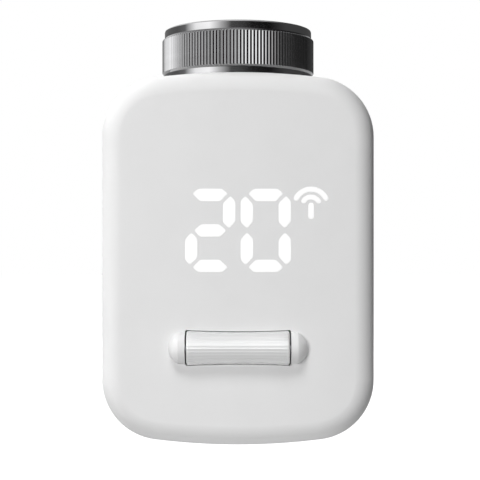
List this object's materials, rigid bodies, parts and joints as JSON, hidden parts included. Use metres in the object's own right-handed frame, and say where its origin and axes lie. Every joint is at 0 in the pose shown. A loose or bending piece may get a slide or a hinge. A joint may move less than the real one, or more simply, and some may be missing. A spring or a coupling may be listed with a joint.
{
  "type": "thermostatic radiator valve head",
  "caption": "Electronic radiator valve head: rounded white box with a lit digit display, a thumb roller and a knurled M30 union nut.",
  "frame": {"origin": "centre of the valve seat, the ring inside the union nut that the radiator valve's collar stands on", "axes": "+Z along the union nut's axis, out of the head towards the valve; -Y is the display side; +X is to the right when looking at the display with the nut up"},
  "size_m": [0.0586, 0.0537, 0.0927],
  "materials": {
    "shell_white": "fine satin moulded plastic",
    "roller_silver": "satin silver-white coating",
    "black_nickel": "polished black nickel plating",
    "display_light": "lit white segments seen through the shell",
    "inner_grey": "moulded, lightly textured",
    "gear_white": "natural acetal",
    "brass": "turned",
    "steel": "zinc plated",
    "board_green": "solder mask",
    "chip_black": "moulded",
    "cell_wrap": "plain shrink wrap",
    "milk_white": "translucent diffuser film"
  },
  "bodies": {
    "case": {"front_shell": "shell_white", "battery_tray": "inner_grey", "tray_screw_1": "steel", "tray_screw_2": "steel", "tray_screw_3": "steel", "tray_screw_4": "steel", "valve_coupling": "brass", "coupling_screw_1": "steel", "coupling_screw_2": "steel", "coupling_screw_3": "steel", "gearbox_base": "inner_grey", "gearbox_cover": "inner_grey", "thrust_washer": "steel", "second_gear_pin": "steel", "first_gear_pin": "steel", "motor_gearhead": "steel", "motor_can": "steel", "battery_left": "cell_wrap", "battery_right": "cell_wrap", "contact_plate_left": "steel", "contact_plate_right": "steel", "contact_spring_left": "steel", "contact_spring_right": "steel", "contact_bridge": "steel", "push_switch": "chip_black", "display_diffuser": "milk_white", "display_light_box": "chip_black", "led_array": "board_green", "main_board": "board_green", "board_screw_1": "steel", "board_screw_2": "steel", "radio_module": "steel", "hall_sensor": "chip_black", "temperature_sensor": "chip_black"},
    "battery_cover": {"battery_cover": "shell_white"},
    "union_nut": {"union_nut": "black_nickel"},
    "roller_carrier": {"roller_carrier": "inner_grey", "roller_axle": "steel", "switch_button": "chip_black"},
    "thumb_roller": {"thumb_roller": "roller_silver", "roller_core": "chip_black", "roller_magnet": "steel"},
    "drive_gear": {"drive_gear": "gear_white"},
    "plunger": {"plunger": "gear_white"},
    "second_gear": {"second_gear": "gear_white"},
    "first_gear": {"first_gear": "gear_white"},
    "motor_pinion": {"motor_pinion": "brass"}
  },
  "joints": [
    {"name": "union_nut_turn", "type": "hinge", "parent": "case", "child": "union_nut", "pos_m": [0, 0, 0], "axis": [0, 0, 1], "continuous": true},
    {"name": "battery_cover_pull", "type": "slide", "parent": "case", "child": "battery_cover", "axis": [0, 1, 0], "range_m": [0, 0.03]},
    {"name": "roller_press", "type": "slide", "parent": "case", "child": "roller_carrier", "axis": [0, 1, 0], "range_m": [0, 0.0004], "stiffness_N_per_m": 4000, "springref_m": -0.0001},
    {"name": "roller_turn", "type": "hinge", "parent": "roller_carrier", "child": "thumb_roller", "pos_m": [0, -0.025, -0.063], "axis": [1, 0, 0], "continuous": true},
    {"name": "drive_gear_turn", "type": "hinge", "parent": "case", "child": "drive_gear", "pos_m": [0, 0, 0], "axis": [0, 0, -1], "range_deg": [0, 1080]},
    {"name": "plunger_stroke", "type": "slide", "parent": "case", "child": "plunger", "axis": [0, 0, 1], "range_m": [0, 0.00451]},
    {"name": "second_gear_turn", "type": "hinge", "parent": "case", "child": "second_gear", "pos_m": [-0.0166, -0.00293, 0], "axis": [0, 0, -1], "range_deg": [-3961, 1]},
    {"name": "first_gear_turn", "type": "hinge", "parent": "case", "child": "first_gear", "pos_m": [-0.00728, -0.00789, 0], "axis": [0, 0, -1], "range_deg": [-1, 12673]},
    {"name": "motor_turn", "type": "hinge", "parent": "case", "child": "motor_pinion", "pos_m": [0.00128, -0.00789, 0], "axis": [0, 0, -1], "range_deg": [-30414, 1]}
  ],
  "couplings": [
    {"joint": "plunger_stroke", "follows": "drive_gear_turn", "m_per_rad": 0.00023873},
    {"joint": "second_gear_turn", "follows": "drive_gear_turn", "ratio": -3.6667},
    {"joint": "first_gear_turn", "follows": "drive_gear_turn", "ratio": 11.733},
    {"joint": "motor_turn", "follows": "drive_gear_turn", "ratio": -28.16}
  ]
}
